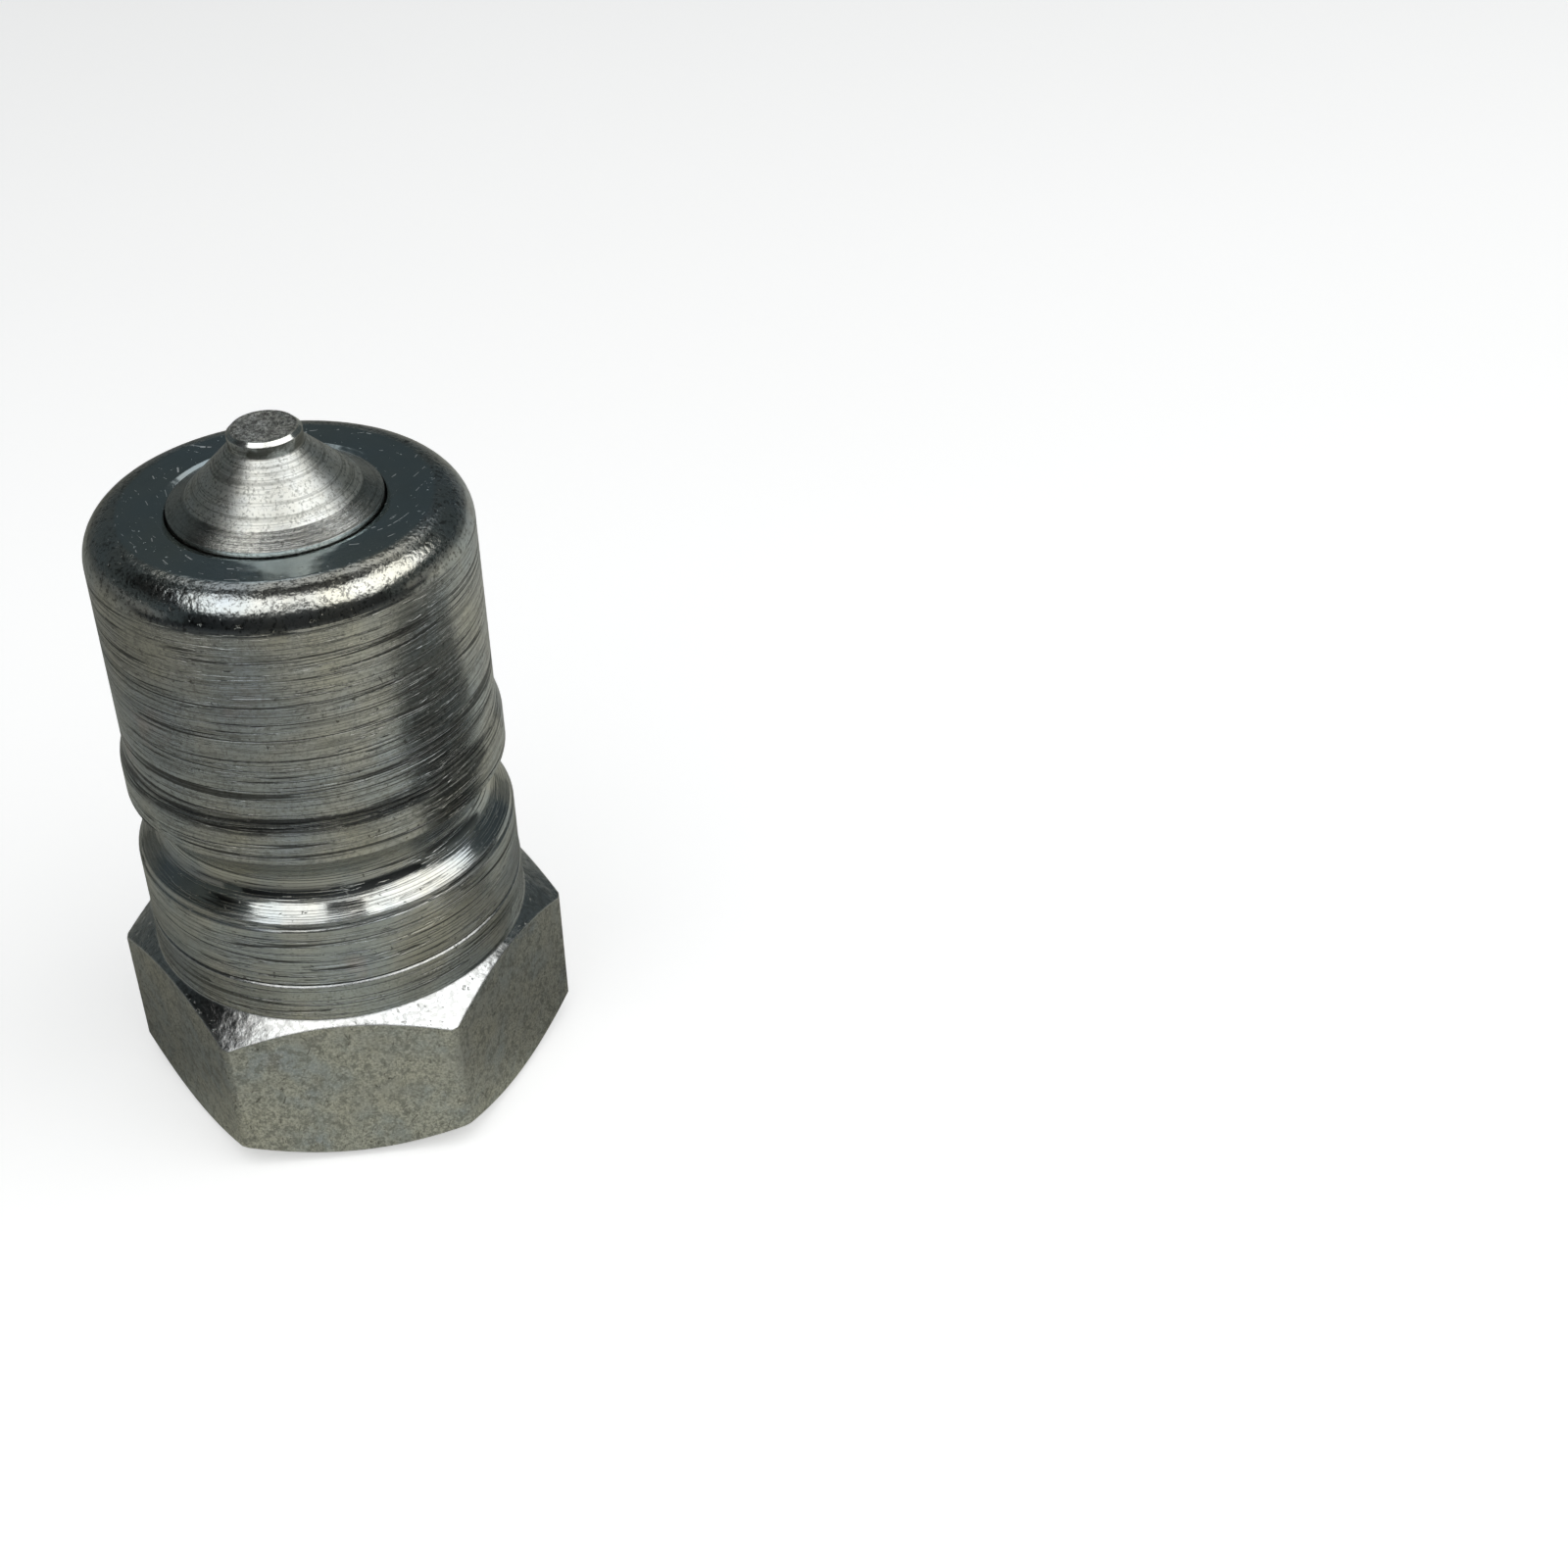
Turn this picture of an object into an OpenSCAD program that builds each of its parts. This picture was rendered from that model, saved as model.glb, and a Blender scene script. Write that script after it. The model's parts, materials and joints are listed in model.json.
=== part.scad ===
// Male half of a poppet-valved hydraulic quick disconnect coupling.
// Millimetres, +Z up: the origin is the centre of the rear face, the nose points up,
// and two corners of the hexagon lie on the X axis.

/* [Hexagon] */
// Width of the hexagon across its flats
hex_af = 25.4; // [25:0.1:26.5]
// Height of the hexagon
hex_h = 11.8; // [11:0.1:12.5]
// Drop of the chamfer at the hexagon's upper corners
hex_chamfer = 1.5; // [1:0.1:2.2]
// Drop of the chamfer at the hexagon's lower corners
hex_rear_chamfer = 1.8; // [1:0.1:2.2]

/* [Collar] */
// Diameter of the collar, above its joint line
collar_d = 24.4; // [24.1:0.1:24.8]
// Height of the joint line between the two bodies
seam_z = 14.6; // [14.2:0.1:15]
// Height where the collar meets the groove's flank
collar_top = 19.2; // [18.9:0.1:19.4]

/* [Locking groove and nose] */
// Diameter at the bottom of the locking groove
groove_d = 21.1; // [20.7:0.1:21.4]
// Radius of the groove's rounded bottom
groove_r = 1.8; // [1.5:0.1:1.9]
// Diameter of the bead above the groove
bead_d = 24.2; // [23.8:0.1:24.4]
// Height where the bead begins to fall away to the nose
bead_top = 26.1; // [25.6:0.1:26.4]
// Diameter of the nose, the sealing diameter of the coupling
nose_d = 23.5; // [23.3:0.1:23.6]
// Height of the nose's front face
face_z = 42.6; // [42.2:0.1:43]
// Radius of the nose's rounded edge
nose_round = 2.4; // [2:0.1:3]

/* [Port] */
// Major diameter of the female G 1/2 pipe thread
port_d = 20.955; // [20.7:0.005:21]
// Depth of the full thread, from the rear face
port_depth = 12.6; // [12:0.1:12.8]

/* [Valve] */
// Diameter of the valve's mouth in the front face
mouth_d = 13.3; // [13.2:0.1:13.6]
// Diameter of the flow bore behind the seat
flow_d = 17.4; // [17:0.1:17.6]
// Height of the pin's tip with the valve shut
tip_z = 47.55; // [47:0.05:47.8]
// Distance that the poppet travels to full flow
travel = 4.5; // [3.5:0.1:4.6]
// Diameter of the spring's wire
wire_d = 1.3; // [1:0.1:1.4]

/* [Hidden] */
$fn = 96;

past = 1;                                  // how far a cutter runs past the face it cuts

// hexagon
hex_corner_r = hex_af / sqrt(3) - 0.144;   // the corners are turned off to a band 0.5 wide
hex_rear_r = 11.8;                         // radius where the rear chamfer meets the rear face
collar_r = collar_d / 2;
low_collar_r = collar_r + 0.06;            // below the joint line
seam_chamfer = 0.12;                       // each side of the V at the joint line
collar_lip = [0.14, 0.17];                 // raised lip on the collar's top edge: width, height
collar_step = [0.08, 0.28];                // steep step between the lip and the flank

// locking groove: flanks measured from the axis
collar_flank = 45;
bead_flank = 38.5;
groove_c_r = groove_d / 2 + groove_r;      // centre of the groove's round, from the axis
groove_c_z = collar_top + groove_r * sin(collar_flank)
    + (collar_r - groove_c_r + groove_r * cos(collar_flank)) / tan(collar_flank);
groove_reach = 2;                          // how far past the collar the groove's cutter runs
bead_r = bead_d / 2;
bead_start = groove_c_z + groove_r * sin(bead_flank)
    + (bead_r - groove_c_r + groove_r * cos(bead_flank)) / tan(bead_flank);
nose_r = nose_d / 2;
bead_fall_h = 1.5;                         // height of the S-shaped fall from bead to nose
bead_fall_steps = 8;
nose_start = bead_top + bead_fall_h;
edge = 0.18;                               // small chamfer on turned edges

// joint between the bodies
spigot_r = 10.25;
socket_r = spigot_r + 0.05;
spigot_bore_r = 8;
port_chamfer = 0.45;
port_shoulder_h = 1.2;                     // cone between the port and the spigot's bore
spigot_top = seam_z + 4;
gland_r = spigot_r - 1.15;
gland_z = seam_z + 1.3;
gland_w = 2;
backup_w = 0.55;
o_ring_section = 1.1;

// valve guide
guide_r = 9.3;
guide_t = 1.2;
guide_fit = 0.05;
guide_top = spigot_top + guide_t;
guide_rim_r = 7.9;                         // inside of the rim
spring_seat_r = 6.2;                       // flange that carries the spring
guide_arm_w = 2.4;
guide_arm_lap = 0.5;                       // how far an arm runs into the rim
hub_r = 3.8;
hub_bottom = spigot_top - 1;
hub_top = guide_top + 4.2;

// seat and poppet
mouth_r = mouth_d / 2;
flow_r = flow_d / 2;
lip_w = 0.5;                               // soft bevel round the mouth
lip_h = 0.2;
seat_top = face_z - 1;                     // where the mouth opens into the 45 degree seat
seat_bottom = seat_top - (flow_r - mouth_r);
head_r = mouth_r - 0.15;
cone_r = 5.3;                              // edge between the ring and the cone
cone_z = face_z + 0.85;
ring_foot_z = face_z + 0.15;               // foot of the ring round the cone
pin_r = 2.25;
pin_root_z = tip_z - 1.05;
pin_chamfer = 0.3;
seal_top = seat_top - 0.5;
seal_h = 1.2;
seal_in_r = 5.6;
seal_out_r = 7.7;
seal_gap = 0.11;                           // radial gap between the seal and the seat
flange_r = 7.4;
head_back = seal_top - seal_h - 1.5;       // the spring bears here
boss_r = 4.2;
boss_h = 1;
boss_cone_h = 0.5;                         // cone from the boss down to the shank
stem_r = 2.2;
stem_fit = 0.05;
shank_r = 3.2;
stop_gap = 0.1;                            // left between shank and hub at full travel
shoulder_z = hub_top + travel + stop_gap;
stem_end = spigot_top - 1;

// spring
spring_r = 5;                              // to the middle of the wire
end_turns = 1;
free_turns = 5;
spring_gap = 0.03;
end_pitch = wire_d + 0.04;
spring_z = guide_top + spring_gap + wire_d / 2;
spring_h = head_back - guide_top - 2 * spring_gap - wire_d;
free_pitch = (spring_h - 2 * end_turns * end_pitch) / free_turns;
turn_steps = 20;
wire_sides = 8;

zinc = "#a9aca2";
bright = "#d2d4cf";
spring_steel = "#8d9196";

// rise of the wire after t turns: close end turns, open turns between them
function spring_rise(t) =
    end_pitch * min(t, end_turns)
    + free_pitch * min(max(t - end_turns, 0), free_turns)
    + end_pitch * max(t - end_turns - free_turns, 0);

function wire_point(i, k) =
    let (t = i / turn_steps, a = 360 * t, s = 360 * k / wire_sides,
         r = spring_r + wire_d / 2 * cos(s))
    [r * cos(a), r * sin(a), spring_z + spring_rise(t) + wire_d / 2 * sin(s)];

// outer profile of the front body, before the groove is cut
module nose_profile() {
    lip_z = collar_top - edge / 2;
    step_r = collar_r - collar_lip[0] - collar_step[0];
    fall = [for (i = [0 : bead_fall_steps]) let (t = i / bead_fall_steps)
        [nose_r + (bead_r - nose_r) * (1 + cos(180 * t)) / 2, bead_top + bead_fall_h * t]];
    polygon(concat([
        [0, seam_z], [collar_r - seam_chamfer, seam_z], [collar_r, seam_z + seam_chamfer],
        [collar_r, lip_z - collar_lip[1]], [collar_r - collar_lip[0], lip_z],
        [step_r, lip_z + collar_step[1]], [step_r, groove_c_z], [bead_r, groove_c_z]
    ], fall, [
        [nose_r, face_z - nose_round], [nose_r - nose_round, face_z], [0, face_z]
    ]));
    translate([nose_r - nose_round, face_z - nose_round]) circle(nose_round);
}

// round-bottomed groove whose flanks are tangent to its round
module groove_profile() {
    low_r = groove_c_r - groove_r * cos(collar_flank);
    high_r = groove_c_r - groove_r * cos(bead_flank);
    out_r = collar_r + groove_reach;
    low_z = groove_c_z - groove_r * sin(collar_flank);
    high_z = groove_c_z + groove_r * sin(bead_flank);
    translate([groove_c_r, groove_c_z]) circle(groove_r);
    polygon([
        [low_r, low_z], [out_r, low_z - (out_r - low_r) / tan(collar_flank)],
        [out_r, high_z + (out_r - high_r) / tan(bead_flank)], [high_r, high_z]
    ]);
}

// socket, guide recess, flow bore, seat and mouth
module valve_bore_profile() {
    polygon([
        [0, seam_z - past], [socket_r + edge, seam_z - past], [socket_r + edge, seam_z],
        [socket_r, seam_z + edge], [socket_r, spigot_top],
        [guide_r + guide_fit, spigot_top], [guide_r + guide_fit, guide_top],
        [flow_r, guide_top], [flow_r, seat_bottom], [mouth_r, seat_top],
        [mouth_r, face_z - lip_h], [mouth_r + lip_w, face_z],
        [mouth_r + lip_w, face_z + past], [0, face_z + past]
    ]);
}

module plug_body() {
    color(zinc)
        rotate_extrude() difference() {
            nose_profile();
            groove_profile();
            valve_bore_profile();
        }
}

// hexagon with both ends chamfered and its corners turned off
module hexagon() {
    intersection() {
        cylinder(r = hex_af / sqrt(3), h = hex_h, $fn = 6);
        rotate_extrude() polygon([
            [0, 0], [hex_rear_r, 0], [hex_corner_r, hex_rear_chamfer],
            [hex_corner_r, hex_h - hex_chamfer], [low_collar_r, hex_h], [0, hex_h]
        ]);
    }
}

// collar and spigot, with the gland for the O-ring and its backup ring
module adaptor_spigot() {
    rotate_extrude() polygon([
        [0, hex_h - past], [low_collar_r, hex_h - past], [low_collar_r, seam_z - seam_chamfer],
        [low_collar_r - seam_chamfer, seam_z], [spigot_r, seam_z],
        [spigot_r, gland_z], [gland_r, gland_z], [gland_r, gland_z + gland_w],
        [spigot_r, gland_z + gland_w], [spigot_r, spigot_top - edge],
        [spigot_r - edge, spigot_top], [0, spigot_top]
    ]);
}

module hex_adaptor() {
    port_r = port_d / 2;
    color(zinc)
        difference() {
            union() {
                hexagon();
                adaptor_spigot();
            }
            rotate_extrude() polygon([
                [0, -past], [port_r + port_chamfer, -past], [port_r + port_chamfer, 0],
                [port_r, port_chamfer], [port_r, port_depth],
                [spigot_bore_r, port_depth + port_shoulder_h],
                [spigot_bore_r, spigot_top + past], [0, spigot_top + past]
            ]);
        }
}

module body_o_ring() {
    ring_r = (gland_r + socket_r) / 2;
    ring_z = gland_z + backup_w + (gland_w - backup_w) / 2;
    color("#1d1d1f")
        rotate_extrude() translate([ring_r, ring_z]) circle(d = o_ring_section);
}

module backup_ring() {
    side_gap = 0.03;
    color("#ece8dc")
        rotate_extrude() translate([gland_r + side_gap, gland_z + side_gap])
            square([socket_r - gland_r - 2 * side_gap, backup_w - 2 * side_gap]);
}

module poppet() {
    color(bright)
        rotate_extrude() polygon([
            [0, tip_z], [pin_r - pin_chamfer, tip_z], [pin_r, tip_z - pin_chamfer],
            [pin_r, pin_root_z], [cone_r, cone_z], [head_r, ring_foot_z],
            [head_r, seal_top], [seal_in_r, seal_top],
            [seal_in_r, seal_top - seal_h], [flange_r, seal_top - seal_h],
            [flange_r, head_back + edge], [flange_r - edge, head_back],
            [boss_r, head_back], [boss_r, head_back - boss_h],
            [shank_r, head_back - boss_h - boss_cone_h], [shank_r, shoulder_z + edge],
            [shank_r - edge, shoulder_z], [stem_r, shoulder_z],
            [stem_r, stem_end + edge], [stem_r - edge, stem_end], [0, stem_end]
        ]);
}

// its front edge is parallel to the seat
module poppet_seal() {
    bottom = seal_top - seal_h;
    front_r = mouth_r - seal_gap + seat_top - seal_top;
    side_gap = 0.02;
    color("#26262a")
        rotate_extrude() polygon([
            [seal_in_r + side_gap, bottom + side_gap], [seal_out_r, bottom + side_gap],
            [seal_out_r, seal_top - (seal_out_r - front_r)],
            [front_r + side_gap, seal_top - side_gap],
            [seal_in_r + side_gap, seal_top - side_gap]
        ]);
}

module valve_spring() {
    rings = (2 * end_turns + free_turns) * turn_steps;
    points = [for (i = [0 : rings]) for (k = [0 : wire_sides - 1]) wire_point(i, k)];
    sides = [for (i = [0 : rings - 1]) for (k = [0 : wire_sides - 1])
        let (j = (k + 1) % wire_sides, a = i * wire_sides, b = a + wire_sides)
        [a + k, b + k, b + j, a + j]];
    ends = [[for (k = [0 : wire_sides - 1]) k],
            [for (k = [wire_sides - 1 : -1 : 0]) rings * wire_sides + k]];
    color(spring_steel) polyhedron(points, concat(sides, ends));
}

// rim, three arms, spring flange and a hub bored for the stem
module valve_guide() {
    arm_angles = [0 : 120 : 240];
    color(spring_steel)
        difference() {
            union() {
                translate([0, 0, spigot_top]) difference() {
                    cylinder(r = guide_r, h = guide_t);
                    translate([0, 0, -past]) cylinder(r = guide_rim_r, h = guide_t + 2 * past);
                }
                translate([0, 0, spigot_top]) cylinder(r = spring_seat_r, h = guide_t);
                translate([0, 0, hub_bottom]) cylinder(r = hub_r, h = hub_top - hub_bottom);
                for (a = arm_angles) rotate([0, 0, a])
                    translate([hub_r, -guide_arm_w / 2, spigot_top])
                        cube([guide_rim_r + guide_arm_lap - hub_r, guide_arm_w, guide_t]);
            }
            translate([0, 0, hub_bottom - past])
                cylinder(r = stem_r + stem_fit, h = hub_top - hub_bottom + 2 * past);
        }
}

plug_body();
hex_adaptor();
body_o_ring();
backup_ring();
poppet();
poppet_seal();
valve_spring();
valve_guide();
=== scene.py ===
"""Visual model of the male half of a hydraulic quick disconnect coupling.

The CAD nodes keep their own meshes and get materials here. Two pieces are added: the ridges of the
pipe thread in the port, and a smooth coil in place of the CAD spring. Metres, +Z towards the nose.
"""
import json
import math

import bmesh
import bpy
from mathutils import Matrix, Vector


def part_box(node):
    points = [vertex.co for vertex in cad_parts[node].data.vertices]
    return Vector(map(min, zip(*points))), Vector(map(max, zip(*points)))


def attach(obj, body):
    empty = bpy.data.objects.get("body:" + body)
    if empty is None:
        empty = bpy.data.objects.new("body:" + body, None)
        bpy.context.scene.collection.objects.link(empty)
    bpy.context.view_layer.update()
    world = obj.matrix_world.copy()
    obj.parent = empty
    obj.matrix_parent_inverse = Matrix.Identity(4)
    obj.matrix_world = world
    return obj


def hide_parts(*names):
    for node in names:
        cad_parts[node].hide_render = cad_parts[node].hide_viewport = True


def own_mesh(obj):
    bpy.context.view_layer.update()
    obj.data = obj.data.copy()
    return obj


MM = 0.001

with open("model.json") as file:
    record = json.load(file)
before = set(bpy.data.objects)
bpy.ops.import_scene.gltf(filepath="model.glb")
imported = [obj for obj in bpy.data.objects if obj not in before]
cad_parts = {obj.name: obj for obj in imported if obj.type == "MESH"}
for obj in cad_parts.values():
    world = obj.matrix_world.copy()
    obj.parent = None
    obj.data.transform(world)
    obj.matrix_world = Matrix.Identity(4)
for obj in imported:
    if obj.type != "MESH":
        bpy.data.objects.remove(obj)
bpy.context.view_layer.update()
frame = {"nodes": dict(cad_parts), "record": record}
mounts = {m["name"]: m for m in frame["record"]["mounts"]}


# ---------------------------------------------------------------- camera

CAMERA_AT = Vector((16.2, -129.95, 114.64)) * MM
CAMERA_HEADING = -6.14   # degrees, turned from looking along +Y
CAMERA_DOWN = 36.48      # degrees below the horizon
CAMERA_ROLL = -1.51      # degrees
CAMERA_CLIP = (0.005, 20)
LENS = 55.7
SENSOR = 36.0


def make_camera():
    data = bpy.data.cameras.new("camera")
    data.lens = LENS
    data.sensor_width = SENSOR
    data.clip_start, data.clip_end = CAMERA_CLIP
    camera = bpy.data.objects.new("camera", data)
    turn = Matrix.Rotation(math.radians(CAMERA_HEADING), 4, "Z")
    tilt = Matrix.Rotation(math.radians(90 - CAMERA_DOWN), 4, "X")
    roll = Matrix.Rotation(math.radians(CAMERA_ROLL), 4, "Z")
    camera.matrix_world = Matrix.Translation(CAMERA_AT) @ turn @ tilt @ roll
    bpy.context.scene.collection.objects.link(camera)
    bpy.context.scene.camera = camera


# ---------------------------------------------------------------- material graph helper

BEVEL_SAMPLES = 6
EDGE_BEND = (0.005, 0.12)     # limits of the edge mask: 1 - the cosine of a rounded normal's lean


class Graph:
    """Short calls for building one material's nodes. Lengths in the graph are in millimetres."""

    def __init__(self, name):
        self.material = bpy.data.materials.new(name)
        self.material.use_nodes = True
        self.tree = self.material.node_tree
        self.shader = self.tree.nodes["Principled BSDF"]
        place = self.add("ShaderNodeTexCoord").outputs["Object"]
        self.at = self.vector("SCALE", place, scale=1 / MM)
        self.x, self.y, self.z = self.split(self.at)
        self.r = self.vector("LENGTH", self.vector("MULTIPLY", self.at, (1, 1, 0)))

    def add(self, kind):
        return self.tree.nodes.new(kind)

    def link(self, source, socket):
        if hasattr(source, "is_output"):
            self.tree.links.new(source, socket)
        else:
            socket.default_value = source

    def math(self, operation, a, b=0.0):
        node = self.add("ShaderNodeMath")
        node.operation = operation
        self.link(a, node.inputs[0])
        self.link(b, node.inputs[1])
        return node.outputs[0]

    def times(self, *factors):
        product = factors[0]
        for factor in factors[1:]:
            product = self.math("MULTIPLY", product, factor)
        return product

    def most(self, a, b):
        return self.math("MAXIMUM", a, b)

    def inverse(self, value):
        return self.math("SUBTRACT", 1, value)

    def scaled(self, value, gain, base):
        """value times gain, plus base."""
        return self.math("ADD", self.times(value, gain), base)

    def vector(self, operation, a, b=(0, 0, 0), scale=1.0):
        node = self.add("ShaderNodeVectorMath")
        node.operation = operation
        self.link(a, node.inputs[0])
        self.link(b, node.inputs[1])
        if operation == "SCALE":
            self.link(scale, node.inputs["Scale"])
        return node.outputs["Value" if operation in ("LENGTH", "DOT_PRODUCT") else "Vector"]

    def split(self, vector):
        node = self.add("ShaderNodeSeparateXYZ")
        self.link(vector, node.inputs[0])
        return node.outputs

    def combine(self, x, y, z):
        node = self.add("ShaderNodeCombineXYZ")
        for source, socket in zip((x, y, z), node.inputs):
            self.link(source, socket)
        return node.outputs[0]

    def facing(self):
        """The mesh's true normal."""
        return self.add("ShaderNodeNewGeometry").outputs["Normal"]

    def noise(self, vector, scale=1.0, detail=2.0, rough=0.5, w=None, shift=0.0):
        """4D noise. A different shift gives a different pattern."""
        node = self.add("ShaderNodeTexNoise")
        node.noise_dimensions = "4D"
        self.link(vector, node.inputs["Vector"])
        self.link(shift if w is None else self.math("ADD", w, shift), node.inputs["W"])
        node.inputs["Scale"].default_value = scale
        node.inputs["Detail"].default_value = detail
        node.inputs["Roughness"].default_value = rough
        return node.outputs["Fac"]

    def turned(self, across, along, detail=2.0, shift=0.0):
        """Noise drawn out round the axis: across cells a millimetre up or outwards, along cells a
        millimetre round the part."""
        vector = self.combine(self.times(self.x, along), self.times(self.y, along),
                              self.times(self.r, across))
        return self.noise(vector, 1.0, detail, 0.6, w=self.times(self.z, across), shift=shift)

    def ramp(self, value, stops):
        node = self.add("ShaderNodeValToRGB")
        elements = node.color_ramp.elements
        while len(elements) < len(stops):
            elements.new(0.5)
        for element, (place, colour) in zip(elements, stops):
            element.position = place
            element.color = (*colour, 1)
        self.link(value, node.inputs[0])
        return node.outputs[0]

    def band(self, value, low, high):
        """0 below low, 1 above high, a smooth step between them. Reversed limits fall instead."""
        node = self.add("ShaderNodeMapRange")
        node.interpolation_type = "SMOOTHSTEP"
        self.link(value, node.inputs["Value"])
        node.inputs["From Min"].default_value = low
        node.inputs["From Max"].default_value = high
        return node.outputs["Result"]

    def between(self, value, rise, fall):
        """0 below the first pair of limits, 1 between the two pairs, 0 above the second."""
        return self.times(self.band(value, *rise), self.band(value, *fall))

    def contour(self, field, level, width):
        """1 along a thin line where the field passes level."""
        off = self.math("ABSOLUTE", self.math("SUBTRACT", field, level))
        return self.band(off, width, width * 0.35)

    def mix(self, factor, a, b):
        node = self.add("ShaderNodeMix")
        node.data_type = "RGBA"
        self.link(factor, node.inputs["Factor"])
        for name, source in (("A", a), ("B", b)):
            socket = next(s for s in node.inputs if s.name == name and s.type == "RGBA")
            self.link((*source, 1) if isinstance(source, tuple) else source, socket)
        return next(s for s in node.outputs if s.type == "RGBA")

    def tint(self, colour, target, *factors):
        """colour, moved towards target by the product of the factors."""
        return self.mix(self.times(*factors), colour, target)

    def edges(self, radius):
        """A normal that rounds sharp edges over radius (mm), and a mask that is 1 along them."""
        bevel = self.add("ShaderNodeBevel")
        bevel.samples = BEVEL_SAMPLES
        bevel.inputs["Radius"].default_value = radius * MM
        bent = self.vector("DOT_PRODUCT", bevel.outputs[0], self.facing())
        return bevel.outputs[0], self.band(self.inverse(bent), *EDGE_BEND)

    def bump(self, heights, normal):
        """Stacks (height, millimetres) pairs on a normal."""
        for height, depth in heights:
            node = self.add("ShaderNodeBump")
            node.inputs["Distance"].default_value = depth * MM
            node.inputs["Strength"].default_value = 1.0
            self.link(height, node.inputs["Height"])
            self.link(normal, node.inputs["Normal"])
            normal = node.outputs[0]
        return normal

    def finish(self, **inputs):
        for name, value in inputs.items():
            socket = self.shader.inputs[name.replace("_", " ").title()]
            if isinstance(value, tuple):
                value = (*value, 1)
            self.link(value, socket)
        return self.material


# ---------------------------------------------------------------- materials

# Where masks change, in mm, as the limits that Graph.band and Graph.between take.
SEAM_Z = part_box("plug_body")[0][2] / MM     # where the two bodies meet round the collar
SEAM_WIDTH = 0.12
ROUNDED_Z = (40.25, 40.6)                   # the nose's turned side ends, its rounded edge begins
GRANULAR_Z = (41.0, 41.8)                   # the rounded edge turns granular
FACE_Z, FACE_R = (42.2, 42.5), (9.7, 9.3)   # the smooth front face
NOSE_FOOT_Z = ((26.2, 26.6), (27.7, 27.4))  # painted shade: dark rings just above the bead
FLANK_Z = ((19.12, 19.22), (21.2, 20.9))    # the groove's bright lower flank
GROOVE_Z = ((18.6, 19.15), (23.9, 23.3))    # the groove, less worn than the rest
COLLAR_TOP_Z = (18.8, 19.4)
COLLAR_FOOT_Z = (11.75, 11.82)
CHAMFER_R = (12.0, 12.3)
PORT_R = (12.3, 12.2)                       # everything inside the hexagon's flats
TIP_Z, TIP_R = (47.48, 47.53), (2.1, 1.95)  # the flat end of the poppet's pin
TIP_RIM_Z = (47.15, 47.25)
PIN_Z = ((46.4, 46.6), (47.3, 47.2))
RING_Z = (43.55, 43.40)                     # the ring below the poppet's cone
SLOPE = (0.3, 0.4)                          # upward share of a normal, from flats to chamfers


def plating(g, scale, base, strength):
    """Zinc plating: base drifts between straw, grey, blue and faintly pink in clouds."""
    drift = g.noise(g.at, scale, 3, 0.55)
    cloud = g.noise(g.at, scale * 3, 3, 0.6, shift=20)
    tints = g.ramp(drift, [(0.34, (0.69, 0.66, 0.52)), (0.45, (0.65, 0.65, 0.60)),
                           (0.54, (0.55, 0.61, 0.62)), (0.64, (0.50, 0.58, 0.66)),
                           (0.72, (0.65, 0.58, 0.60))])
    colour = g.mix(strength, base, tints)
    return g.tint(colour, (0.45, 0.46, 0.43), g.band(cloud, 0.45, 0.70), 0.40)


def turning(g):
    """Marks left by the tool: fine rings, broad rings, dark scored lines, short dashes."""
    fine = g.turned(7.5, 0.22, 3)
    broad = g.turned(0.9, 0.04, 2, shift=5)
    where = g.band(g.noise(g.at, 0.13, 2, shift=23), 0.45, 0.55)
    sparse = g.contour(g.turned(0.9, 0.012, 2, shift=11), 0.5, 0.011)
    dense = g.times(g.contour(g.turned(2.2, 0.022, 1, shift=14), 0.5, 0.017), where)
    dashes = g.band(g.turned(6.5, 0.40, 2, shift=17), 0.64, 0.70)
    return fine, broad, g.most(sparse, dense), dashes


def ribbing(g):
    return g.turned(4.2, 0.15, 2, shift=27)


def seam_line(g):
    """A dark line, broken in places, where the two bodies meet."""
    broken = g.band(g.noise(g.at, 0.2, 2, shift=41), 0.64, 0.54)
    return g.times(g.contour(g.z, SEAM_Z, SEAM_WIDTH), broken)


def stains(g, scale, low, high, shift):
    return g.band(g.noise(g.at, scale, 3, 0.6, shift=shift), low, high)


def scratches(g, shift, amount=0.62):
    """Short, nearly straight lines in small patches, in two directions. Less amount gives more."""
    found = []
    for way in (0, 5):
        field = g.math("FRACT", g.times(g.noise(g.at, 0.06, 0, shift=shift + way), 36))
        patch = stains(g, 1.1, amount, amount + 0.04, shift + way + 2)
        found.append(g.times(g.contour(field, 0.5, 0.04), patch))
    return g.most(*found)


def round_axis(g):
    tangent = g.add("ShaderNodeTangent")
    tangent.direction_type = "RADIAL"
    tangent.axis = "Z"
    return tangent.outputs[0]


def shine(g, colour, rough, normal, stretch):
    """Metal whose highlights stretch across the tool's marks."""
    return g.finish(base_color=colour, metallic=1.0, roughness=rough, normal=normal,
                    anisotropic=stretch, anisotropic_rotation=0.25, tangent=round_axis(g))


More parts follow.
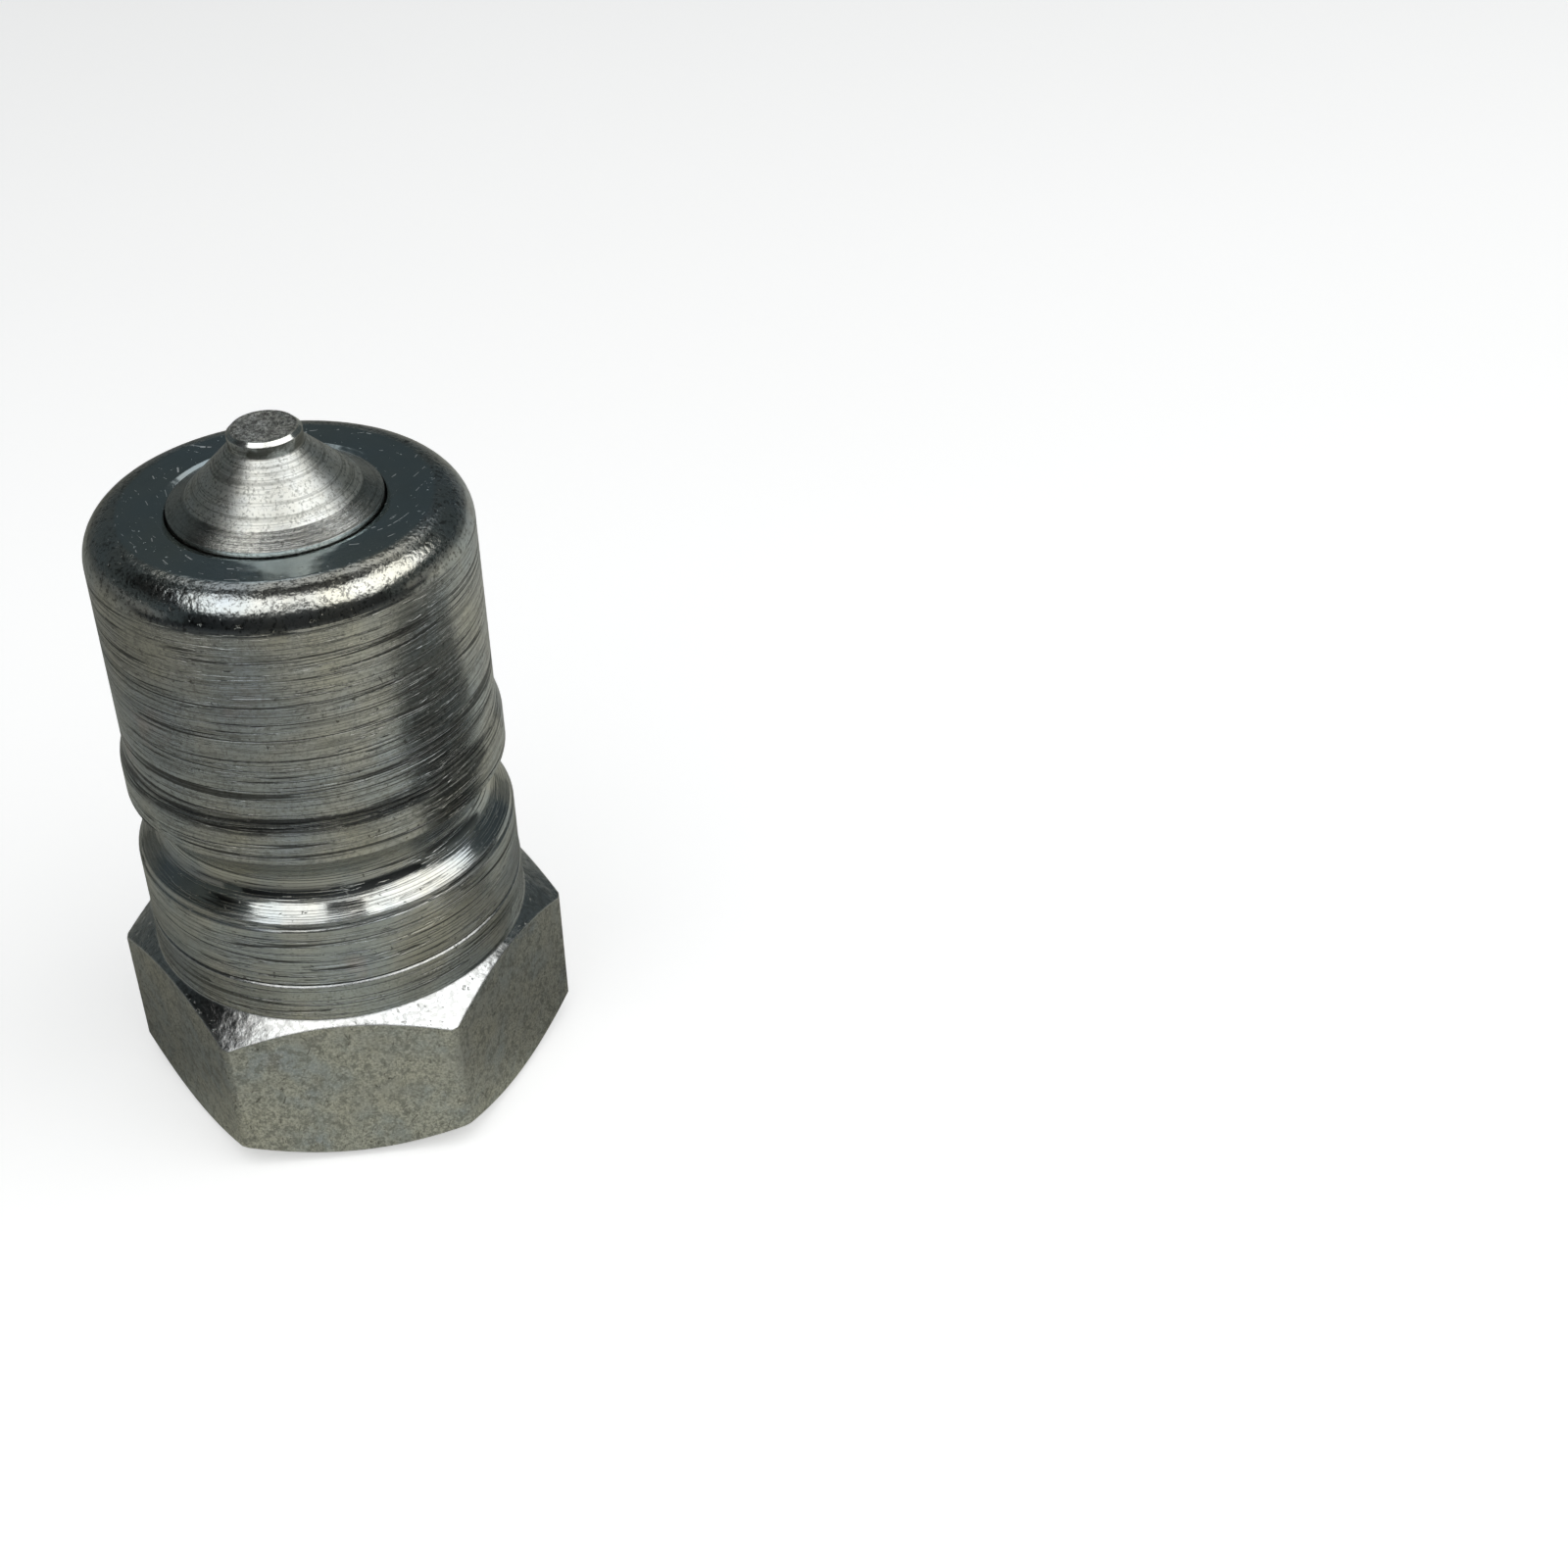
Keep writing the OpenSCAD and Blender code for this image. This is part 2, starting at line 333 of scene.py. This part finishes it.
def turned_zinc():
    """The nose end is a granular rounded edge round a smooth face. The rest carries rings."""
    g = Graph("turned_zinc")
    normal, edge = g.edges(0.10)
    fine, broad, scored, dashes = turning(g)
    ribs = ribbing(g)
    speck = stains(g, 2.6, 0.66, 0.71, 3)
    grain = g.noise(g.at, 4.6, 4, 0.75, shift=31)
    grit = g.noise(g.at, 3.0, 1, 0.5, shift=35)
    dots = g.band(g.noise(g.at, 4.5, 3, 0.7, shift=33), 0.52, 0.60)
    waves = g.noise(g.at, 0.55, 2, 0.5, shift=37)
    hairs = scratches(g, 43)
    nicks = scratches(g, 71, 0.58)
    # where each kind of surface is
    end = g.band(g.z, *ROUNDED_Z)
    face = g.times(end, g.band(g.r, *FACE_R), g.band(g.z, *FACE_Z))
    rounded = g.math("SUBTRACT", end, face)
    granular = g.times(rounded, g.band(g.z, *GRANULAR_Z))
    rings = g.inverse(end)
    foot = g.between(g.z, *NOSE_FOOT_Z)
    flank = g.between(g.z, *FLANK_Z)
    smooth = g.between(g.z, *GROOVE_Z)
    worn = g.times(rings, g.inverse(g.times(smooth, 0.8)),
                   g.scaled(g.band(g.z, *COLLAR_TOP_Z), 0.5, 0.5))
    marked = g.math("SUBTRACT", rings, g.times(flank, 0.75))
    lines = g.times(g.most(scored, dashes), marked)
    glints = g.times(g.contour(g.turned(2.6, 0.06, 1, shift=61), 0.5, 0.020), marked)
    colour = plating(g, 0.16, (0.66, 0.67, 0.64), 0.6)
    colour = g.tint(colour, (0.26, 0.26, 0.24), g.band(fine, 0.53, 0.38), worn, 0.60)
    colour = g.tint(colour, (0.25, 0.25, 0.23), g.band(grain, 0.53, 0.38), worn, 0.60)
    colour = g.tint(colour, (0.12, 0.12, 0.11), rounded, dots, 0.75)
    # painted shade: dark rings above the bead, for the dark room these slopes reflect
    colour = g.tint(colour, (0.05, 0.05, 0.05), foot, g.band(ribs, 0.45, 0.60), 0.8)
    colour = g.tint(colour, (0.05, 0.05, 0.045), lines, 0.80)
    colour = g.tint(colour, (0.09, 0.085, 0.07), speck, 0.70)
    colour = g.tint(colour, (0.08, 0.08, 0.07), hairs, rings, 0.7)
    # painted reflection: the face is tinted bluer and darker for the dim bluish room it reflects
    colour = g.tint(colour, (0.50, 0.64, 0.70), face, 0.5)
    colour = g.tint(colour, (0.95, 0.95, 0.95), face, nicks, 0.5)
    # painted highlight: lighter along sharp edges
    colour = g.tint(colour, (0.85, 0.86, 0.85), edge, 0.35)
    colour = g.tint(colour, (0.03, 0.03, 0.03), seam_line(g), 0.85)
    rough = g.scaled(fine, 0.16, 0.14)
    rough = g.math("ADD", rough, g.times(lines, 0.25))
    rough = g.math("SUBTRACT", rough, g.times(rounded, 0.06))
    rough = g.math("SUBTRACT", rough, g.times(flank, 0.11))
    rough = g.math("SUBTRACT", rough, g.times(face, 0.07))
    rough = g.math("ADD", rough, g.times(face, g.most(nicks, speck), 0.4))
    normal = g.bump([(g.times(broad, rings), 0.012), (g.times(ribs, rings), 0.014),
                     (lines, -0.045), (glints, -0.035), (speck, -0.02),
                     (g.times(face, waves), 0.08), (g.times(granular, grit), 0.034),
                     (g.times(granular, grain), 0.016), (g.times(grain, worn), 0.010)], normal)
    return shine(g, colour, rough, normal, 0.4)


def hex_zinc():
    """Flats are drawn bar under dull plating; the collar, chamfers and bore are turned."""
    g = Graph("hex_zinc")
    normal, edge = g.edges(0.22)
    fine, broad, scored, dashes = turning(g)
    ribs = ribbing(g)
    speckle = g.noise(g.at, 6.5, 4, 0.75)
    mottle = g.noise(g.at, 0.40, 3, 0.6, shift=9)
    waves = g.noise(g.at, 1.1, 2, 0.5, shift=19)
    pits = g.most(stains(g, 3.0, 0.65, 0.70, 7), stains(g, 1.1, 0.68, 0.72, 13))
    hairs = scratches(g, 47, 0.57)
    coarse = g.noise(g.at, 2.2, 3, 0.6, shift=53)
    hatch = g.band(g.noise(g.at, 2.6, 2, 0.5, shift=57), 0.48, 0.58)
    cloudy = g.scaled(g.band(mottle, 0.35, 0.6), 0.6, 0.4)
    # where each kind of surface is
    sloped = g.band(g.math("ABSOLUTE", g.split(g.facing())[2]), *SLOPE)
    collar = g.times(g.band(g.z, *COLLAR_FOOT_Z), g.inverse(sloped))
    turned = g.most(g.most(sloped, collar), g.band(g.r, *PORT_R))
    flat = g.inverse(turned)
    chamfer = g.times(sloped, g.band(g.r, *CHAMFER_R))
    lines = g.times(g.most(scored, dashes), collar)
    colour = plating(g, 0.16, (0.66, 0.67, 0.63), 0.6)
    colour = g.tint(colour, (0.76, 0.75, 0.66), g.band(mottle, 0.42, 0.60), flat, 0.65)
    colour = g.tint(colour, (0.20, 0.20, 0.18), g.band(speckle, 0.51, 0.42), flat, cloudy, 0.55)
    colour = g.tint(colour, (0.28, 0.28, 0.26), g.band(coarse, 0.52, 0.40), flat, 0.60)
    colour = g.tint(colour, (0.95, 0.95, 0.91), g.band(speckle, 0.54, 0.60), flat, 0.48)
    colour = g.tint(colour, (0.28, 0.28, 0.26), g.band(fine, 0.52, 0.38), collar, 0.3)
    colour = g.tint(colour, (0.25, 0.25, 0.23), g.band(speckle, 0.53, 0.38), collar, 0.6)
    colour = g.tint(colour, (0.10, 0.095, 0.08), pits, 0.7)
    colour = g.tint(colour, (0.12, 0.115, 0.10), hairs, flat, 0.6)
    colour = g.tint(colour, (0.84, 0.85, 0.84), chamfer, 0.75)
    colour = g.tint(colour, (0.42, 0.42, 0.40), chamfer, g.most(pits, hatch), 0.5)
    colour = g.tint(colour, (0.08, 0.08, 0.07), lines, 0.65)
    # painted highlight: lighter along sharp edges
    colour = g.tint(colour, (0.88, 0.88, 0.86), edge, 0.50)
    colour = g.tint(colour, (0.03, 0.03, 0.03), seam_line(g), collar, 0.85)
    dull = g.scaled(speckle, 0.2, 0.26)
    keen = g.scaled(fine, 0.14, 0.12)
    rough = g.math("ADD", g.times(keen, turned), g.times(dull, flat))
    rough = g.math("SUBTRACT", rough, g.times(chamfer, 0.08))
    normal = g.bump([(g.times(speckle, flat), 0.040), (g.times(ribs, collar), 0.020),
                     (g.times(broad, collar), 0.016), (lines, -0.04), (pits, -0.03),
                     (g.times(chamfer, waves), 0.06), (g.times(chamfer, speckle), 0.015)],
                    normal)
    return shine(g, colour, rough, normal, 0.25)


def bright_steel():
    """The poppet: ringed and grainy, with a dull pin and a keen rim round its tip."""
    g = Graph("bright_steel")
    normal, edge = g.edges(0.07)
    _, broad, scored, _ = turning(g)
    rings = g.turned(4.2, 0.14, 3, shift=51)
    grain = g.noise(g.at, 5.5, 4, 0.75, shift=31)
    film = g.noise(g.at, 0.5, 3, 0.6, shift=40)
    # where each kind of surface is
    tip = g.times(g.band(g.z, *TIP_Z), g.band(g.r, *TIP_R))
    rim = g.times(g.band(g.z, *TIP_RIM_Z), g.inverse(tip))
    ring = g.band(g.z, *RING_Z)
    pin = g.between(g.z, *PIN_Z)
    side = g.inverse(rim)
    colour = g.mix(g.band(film, 0.35, 0.65), (0.93, 0.93, 0.86), (0.93, 0.95, 0.92))
    colour = g.tint(colour, (0.34, 0.34, 0.30), g.band(rings, 0.48, 0.36), side, 0.40)
    colour = g.tint(colour, (0.24, 0.24, 0.21), g.band(grain, 0.50, 0.39), side, 0.65)
    colour = g.tint(colour, (0.14, 0.14, 0.12), scored, side, 0.4)
    colour = g.tint(colour, (0.30, 0.30, 0.27), ring, 0.35)
    colour = g.tint(colour, (0.12, 0.12, 0.10), pin, g.band(film, 0.56, 0.46), 0.8)
    colour = g.tint(colour, (0.10, 0.10, 0.09), tip, g.band(grain, 0.60, 0.44), 0.75)
    # painted highlight: lighter along sharp edges
    colour = g.tint(colour, (0.92, 0.92, 0.90), edge, 0.4)
    rough = g.scaled(rings, 0.20, 0.29)
    rough = g.math("SUBTRACT", rough, g.times(g.most(rim, ring), 0.18))
    normal = g.bump([(broad, 0.010), (rings, 0.025), (g.times(tip, grain), 0.20),
                     (g.times(grain, side), 0.020)], normal)
    return shine(g, colour, rough, normal, 0.7)


def guide_steel():
    """Pressed sheet, zinc plated: dull, with press marks and a painted highlight along its edges.
    """
    g = Graph("guide_steel")
    normal, edge = g.edges(0.08)
    grain = g.noise(g.at, 4.0, 4, 0.7, shift=61)
    pressed = g.noise(g.at, 0.6, 2, shift=63)
    hairs = scratches(g, 67)
    colour = plating(g, 0.2, (0.52, 0.53, 0.51), 0.4)
    colour = g.tint(colour, (0.26, 0.26, 0.25), g.band(grain, 0.55, 0.35), 0.4)
    colour = g.tint(colour, (0.70, 0.70, 0.68), hairs, 0.6)
    # painted highlight: lighter along sharp edges
    colour = g.tint(colour, (0.82, 0.82, 0.80), edge, 0.6)
    rough = g.scaled(grain, 0.25, 0.28)
    normal = g.bump([(pressed, 0.05), (grain, 0.02), (hairs, -0.02)], normal)
    return g.finish(base_color=colour, metallic=1.0, roughness=rough, normal=normal)


def drawn_wire():
    g = Graph("drawn_wire")
    normal, _ = g.edges(0.05)
    streak = g.noise(g.at, 3, 3)
    film = g.noise(g.at, 0.5, 2, shift=4)
    colour = g.mix(streak, (0.28, 0.29, 0.31), (0.55, 0.56, 0.58))
    colour = g.tint(colour, (0.36, 0.31, 0.25), g.band(film, 0.45, 0.7), 0.4)
    rough = g.scaled(streak, 0.2, 0.20)
    normal = g.bump([(streak, 0.015)], normal)
    return g.finish(base_color=colour, metallic=1.0, roughness=rough, normal=normal)


def seal_rubber():
    g = Graph("seal_rubber")
    normal, edge = g.edges(0.05)
    grain = g.noise(g.at, 8, 3)
    bloom = g.noise(g.at, 0.8, 2, shift=6)
    colour = g.mix(grain, (0.014, 0.014, 0.016), (0.035, 0.035, 0.038))
    colour = g.tint(colour, (0.08, 0.08, 0.08), g.band(bloom, 0.5, 0.75), 0.3)
    # painted highlight: lighter along edges
    colour = g.tint(colour, (0.07, 0.07, 0.07), edge, 0.3)
    rough = g.scaled(grain, 0.2, 0.42)
    normal = g.bump([(grain, 0.008)], normal)
    return g.finish(base_color=colour, roughness=rough, normal=normal)


def backup_plastic():
    g = Graph("backup_plastic")
    normal, edge = g.edges(0.04)
    cloud = g.noise(g.at, 1.5, 3)
    skived = g.turned(4, 0.1, 2)
    colour = g.mix(cloud, (0.76, 0.74, 0.67), (0.88, 0.87, 0.82))
    # painted highlight: lighter along edges
    colour = g.tint(colour, (0.95, 0.94, 0.90), edge, 0.3)
    rough = g.scaled(cloud, 0.15, 0.38)
    normal = g.bump([(skived, 0.008)], normal)
    return g.finish(base_color=colour, roughness=rough, normal=normal)


def paint(node, material):
    for slot in frame["nodes"][node].material_slots:
        slot.material = material


# ---------------------------------------------------------------- pieces

THREAD_PITCH = 1.814 * MM
THREAD_DEPTH = 1.162 * MM
THREAD_ROOT = 0.02 * MM         # how far the ridge's foot is sunk in the port's wall
THREAD_MARGIN = 0.55            # pitches left free at each end of the port's thread
THREAD_RUN_OUT = 0.8            # turns over which the ridge rises at its start and fades at its end
THREAD_LEAST = 0.02             # share of the full depth that the ridge has at its two ends
THREAD_STEPS = 64               # a turn
# across the ridge, in pitches, and the share of the depth reached there
THREAD_PROFILE = ((-0.47, 0), (-0.40, 0), (-0.10, 0.92), (-0.04, 1),
                  (0.04, 1), (0.10, 0.92), (0.40, 0), (0.47, 0))
WIRE_D = 1.3 * MM
WIRE_SIDES = 16
END_TURNS = 1.0
END_PITCH = WIRE_D * 1.03       # the closed turns nearly touch
FREE_TURNS = 5.0
GROUND = 0.25 * WIRE_D          # ground off each end
COIL_STEPS = 56                 # a turn


def mesh_object(name, points, faces, smooth=True):
    mesh = bpy.data.meshes.new(name)
    mesh.from_pydata([tuple(p) for p in points], [], faces)
    mesh.validate()
    bm = bmesh.new()
    bm.from_mesh(mesh)
    bmesh.ops.recalc_face_normals(bm, faces=bm.faces)
    bm.to_mesh(mesh)
    bm.free()
    for polygon in mesh.polygons:
        polygon.use_smooth = smooth
    piece = bpy.data.objects.new(name, mesh)
    bpy.context.scene.collection.objects.link(piece)
    return piece


def swept(name, rings):
    """A closed tube through rings of points, with its two ends capped."""
    sides = len(rings[0])
    points = [p for ring in rings for p in ring]
    faces = []
    for i in range(len(rings) - 1):
        for k in range(sides):
            j = (k + 1) % sides
            faces.append((i * sides + k, (i + 1) * sides + k, (i + 1) * sides + j, i * sides + j))
    faces.append(tuple(range(sides)))
    faces.append(tuple(range((len(rings) - 1) * sides, len(rings) * sides)))
    return mesh_object(name, points, faces)


def port_thread():
    """Whitworth ridges standing in from the port's wall, with rounded crests."""
    port = mounts["port"]
    root_r = port["dims"]["r_mm"] * MM
    half = port["dims"]["length_mm"] * MM / 2
    low = port["pos_m"][2] - half + THREAD_PITCH * THREAD_MARGIN
    high = port["pos_m"][2] + half - THREAD_PITCH * THREAD_MARGIN
    turns = (high - low) / THREAD_PITCH
    steps = int(turns * THREAD_STEPS)
    rings = []
    for i in range(steps + 1):
        t = turns * i / steps
        rise = min(1, t / THREAD_RUN_OUT, (turns - t) / THREAD_RUN_OUT)
        depth = THREAD_DEPTH * max(rise, THREAD_LEAST)
        z = low + THREAD_PITCH * t
        a = math.tau * t
        ring = []
        for across, share in THREAD_PROFILE:
            r = root_r - depth * share if share else root_r + THREAD_ROOT
            ring.append((r * math.cos(a), r * math.sin(a), z + THREAD_PITCH * across))
        rings.append(ring)
    return swept("port_thread", rings)


def spring_rise(t, free_pitch):
    """Height of the wire's middle after t turns, above where it starts."""
    free = min(max(t - END_TURNS, 0), FREE_TURNS)
    return END_PITCH * (min(t, END_TURNS) + max(t - END_TURNS - FREE_TURNS, 0)) + free_pitch * free


def spring_coil():
    """Round wire with closed ends, ground flat where it bears on the guide and the poppet."""
    low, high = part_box("valve_spring")
    mean_r = high[0] - WIRE_D / 2
    turns = 2 * END_TURNS + FREE_TURNS
    span = high[2] - low[2] - WIRE_D + 2 * GROUND
    free_pitch = (span - 2 * END_TURNS * END_PITCH) / FREE_TURNS
    start = low[2] + WIRE_D / 2 - GROUND
    steps = int(turns * COIL_STEPS)
    rings = []
    for i in range(steps + 1):
        t = turns * i / steps
        a = math.tau * t
        z = start + spring_rise(t, free_pitch)
        ring = []
        for k in range(WIRE_SIDES):
            s = math.tau * k / WIRE_SIDES
            r = mean_r + WIRE_D / 2 * math.cos(s)
            ring.append((r * math.cos(a), r * math.sin(a), z + WIRE_D / 2 * math.sin(s)))
        rings.append(ring)
    piece = swept("spring_coil", rings)
    bm = bmesh.new()
    bm.from_mesh(piece.data)
    for level, side in ((low[2], -1), (high[2], 1)):
        cut = bmesh.ops.bisect_plane(bm, geom=bm.verts[:] + bm.edges[:] + bm.faces[:],
                                     plane_co=(0, 0, level), plane_no=(0, 0, side),
                                     clear_outer=True)
        rim = [e for e in cut["geom_cut"] if isinstance(e, bmesh.types.BMEdge)]
        bmesh.ops.holes_fill(bm, edges=rim)
    bmesh.ops.recalc_face_normals(bm, faces=bm.faces)
    bm.to_mesh(piece.data)
    bm.free()
    return piece


# ---------------------------------------------------------------- stage

# lengths in metres, unless it says mm
FLOOR_SIZE = 4
FLOOR_GLOW = 0.50        # lifts the floor to white for the camera
PAPER_R = 100            # mm, where the paper in front of the part begins to darken in reflections
LIGHT_Z = 0.42
CARD_Z = 0.40
CARD_FRONT_Y = -0.50
WALL_Z = 0.15
ROOM_LEFT, ROOM_RIGHT = -0.7, 0.9
ROOM_NEAR, ROOM_FAR = -0.3, 0.7
ROOM_COLOUR, ROOM_LIGHT = (0.82, 0.97, 1.0, 1), 0.065
BACKDROP_COLOUR = (0.95, 0.95, 0.95, 1)
MATTE = 0.9              # roughness of everything on the stage
NEIGHBOUR_AT = Vector((27.2, -9.1, 17)) * MM    # a shape lying to the right, painted dark as shade: its near end
NEIGHBOUR_AXIS = Vector((0.995, -0.068, -0.077))
NEIGHBOUR_R = 14.6 * MM
NEIGHBOUR_LENGTH = 40 * MM


def stage_material(name, colours):
    g = Graph(name)
    return g.finish(base_color=g.mix(g.noise(g.at), *colours), roughness=MATTE)


def make_floor():
    """A pale floor. Reflections see grey paper instead, with painted light and shade round the
    part, and it darkens further off in front.
    """
    bpy.ops.mesh.primitive_plane_add(size=FLOOR_SIZE, location=(0, 0, 0))
    floor = bpy.context.object
    floor.name = "floor"
    g = Graph("floor_paper")
    cloud = g.noise(g.at, 0.01, 2)
    pale = g.mix(cloud, (0.80, 0.80, 0.79), (0.84, 0.84, 0.84))
    # painted light and shade: brighter to the right and close in front, darker to the left, a
    # painted shadow beside the hexagon
    far = g.mix(g.band(g.x, -50, 50), (0.34, 0.34, 0.31), (0.62, 0.62, 0.565))
    near = g.mix(g.band(g.r, 24, 60), (0.55, 0.55, 0.48), far)
    painted_shadow_beside = g.times(g.band(g.math("ABSOLUTE", g.x), 10, 16), g.band(g.r, 34, 24))
    near = g.tint(near, (0.14, 0.14, 0.13), painted_shadow_beside, 0.75)
    ahead = g.band(g.y, 20, -40)
    grey = g.tint(near, (0.06, 0.065, 0.07), g.band(g.r, PAPER_R, PAPER_R * 1.5), ahead)
    paper = g.finish(base_color=pale, roughness=MATTE)
    glow = g.add("ShaderNodeEmission")
    glow.inputs["Strength"].default_value = FLOOR_GLOW
    dim = g.add("ShaderNodeBsdfDiffuse")
    g.link(grey, dim.inputs["Color"])
    lit, seen = g.add("ShaderNodeAddShader"), g.add("ShaderNodeMixShader")
    g.link(g.shader.outputs[0], lit.inputs[0])
    g.link(glow.outputs[0], lit.inputs[1])
    g.link(g.add("ShaderNodeLightPath").outputs["Is Camera Ray"], seen.inputs[0])
    g.link(dim.outputs[0], seen.inputs[1])
    g.link(lit.outputs[0], seen.inputs[2])
    g.link(seen.outputs[0], g.tree.nodes["Material Output"].inputs["Surface"])
    floor.data.materials.append(paper)


def make_card(name, points, faces, material):
    """A shape that only reflections see."""
    card = mesh_object(name, points, faces, smooth=False)
    card.data.materials.append(material)
    card.visible_camera = card.visible_diffuse = card.visible_shadow = False


def make_upright(name, start, end, top, material):
    """An upright card on the floor from start to end, each an x and a y."""
    points = [(*start, 0), (*end, 0), (*end, top), (*start, top)]
    make_card(name, points, [(0, 1, 2, 3)], material)


def make_neighbour(material):
    """A hexagonal block lying to the right of the part, painted dark as shade."""
    side = NEIGHBOUR_AXIS.cross(Vector((0, 0, 1))).normalized()
    up = side.cross(NEIGHBOUR_AXIS)
    points = []
    for along in (0, NEIGHBOUR_LENGTH):
        for k in range(6):
            a = math.tau * k / 6
            points.append(NEIGHBOUR_AT + NEIGHBOUR_AXIS * along
                          + (side * math.cos(a) + up * math.sin(a)) * NEIGHBOUR_R)
    faces = [(k, (k + 1) % 6, (k + 1) % 6 + 6, k + 6) for k in range(6)]
    make_card("neighbour", points, faces + [tuple(range(6)), tuple(range(6, 12))], material)


def make_cards():
    """Dark cards under the lights and pale walls round the stage shape what the metal reflects."""
    black = stage_material("card_black", ((0.04, 0.045, 0.05), (0.05, 0.055, 0.06)))
    corners = {     # metres, x then y
        "card_middle": [(-0.032, -0.34), (0.12, -0.34), (0.12, -0.21), (-0.032, -0.21)],
        "card_back": [(-0.08, -0.070), (0.14, -0.060), (0.24, 0.16), (-0.15, 0.16)],
        "card_corner": [(-0.21, -0.03), (-0.34, -0.21), (-0.60, -0.21), (-0.60, 0.25),
                        (-0.21, 0.25)],
    }
    for name, flat in corners.items():
        make_card(name, [(x, y, CARD_Z) for x, y in flat], [tuple(range(len(flat)))], black)
    make_upright("card_front", (ROOM_LEFT, CARD_FRONT_Y), (ROOM_RIGHT, CARD_FRONT_Y), CARD_Z,
                 black)
    pale = stage_material("wall_pale", ((0.78, 0.78, 0.76), (0.82, 0.82, 0.80)))
    round_stage = [(ROOM_LEFT, ROOM_NEAR), (ROOM_LEFT, ROOM_FAR), (ROOM_RIGHT, ROOM_FAR),
                   (ROOM_RIGHT, ROOM_NEAR)]
    for name, start, end in zip(("wall_left", "wall_back", "wall_right"), round_stage,
                                round_stage[1:]):
        make_upright(name, start, end, WALL_Z, pale)
    # painted light and shade: the neighbour is dark as shade, lighter on its top and front where
    # light falls
    g = Graph("card_neighbour")
    weave = g.noise(g.at, 1.0, 2)
    lit = g.most(g.band(g.z, 14, 27), g.band(g.y, -12, -23))
    dark = g.mix(weave, (0.07, 0.08, 0.085), (0.12, 0.125, 0.13))
    make_neighbour(g.finish(base_color=g.mix(lit, dark, (0.45, 0.46, 0.44)), roughness=MATTE))


def softbox(name, x, y, glow):
    """A rectangular soft light of radiance glow, facing straight down. x and y are its limits."""
    data = bpy.data.lights.new(name, "AREA")
    data.shape = "RECTANGLE"
    data.size, data.size_y = x[1] - x[0], y[1] - y[0]
    data.energy = glow * math.pi * data.size * data.size_y
    light = bpy.data.objects.new(name, data)
    light.location = ((x[0] + x[1]) / 2, (y[0] + y[1]) / 2, LIGHT_Z)
    bpy.context.scene.collection.objects.link(light)


def make_world():
    """A dim room, pale only where the camera looks straight into it."""
    world = bpy.data.worlds.new("room")
    world.use_nodes = True
    tree = world.node_tree
    room = tree.nodes["Background"]
    room.inputs["Color"].default_value = ROOM_COLOUR
    room.inputs["Strength"].default_value = ROOM_LIGHT
    pale = tree.nodes.new("ShaderNodeBackground")
    pale.inputs["Color"].default_value = BACKDROP_COLOUR
    seen = tree.nodes.new("ShaderNodeMixShader")
    rays = tree.nodes.new("ShaderNodeLightPath")
    tree.links.new(rays.outputs["Is Camera Ray"], seen.inputs[0])
    tree.links.new(room.outputs[0], seen.inputs[1])
    tree.links.new(pale.outputs[0], seen.inputs[2])
    tree.links.new(seen.outputs[0], tree.nodes["World Output"].inputs["Surface"])
    bpy.context.scene.world = world


def make_lights():
    """Two soft panels side by side overhead, from behind the part to the camera, and a dim one
    further back."""
    softbox("panel_left", (-0.36, 0.12), (-0.47, 0.04), 1.5)
    softbox("panel_right", (0.12, 0.64), (-0.47, 0.13), 1.6)
    softbox("panel_back", (-0.15, 0.20), (0.18, 0.34), 0.6)


# ---------------------------------------------------------------- build

make_camera()
make_floor()
make_cards()
make_world()
make_lights()

zinc, hexagon, bright = turned_zinc(), hex_zinc(), bright_steel()
guide, wire, rubber, plastic = guide_steel(), drawn_wire(), seal_rubber(), backup_plastic()
paint("plug_body", zinc)
paint("hex_adaptor", hexagon)
paint("valve_guide", guide)
paint("poppet", bright)
paint("poppet_seal", rubber)
paint("body_o_ring", rubber)
paint("backup_ring", plastic)

thread = port_thread()
thread.data.materials.append(hexagon)
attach(thread, "body")

coil = spring_coil()
coil.data.materials.append(wire)
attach(coil, "body")
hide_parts("valve_spring")
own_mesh(coil)

bpy.context.scene.view_settings.view_transform = "Standard"
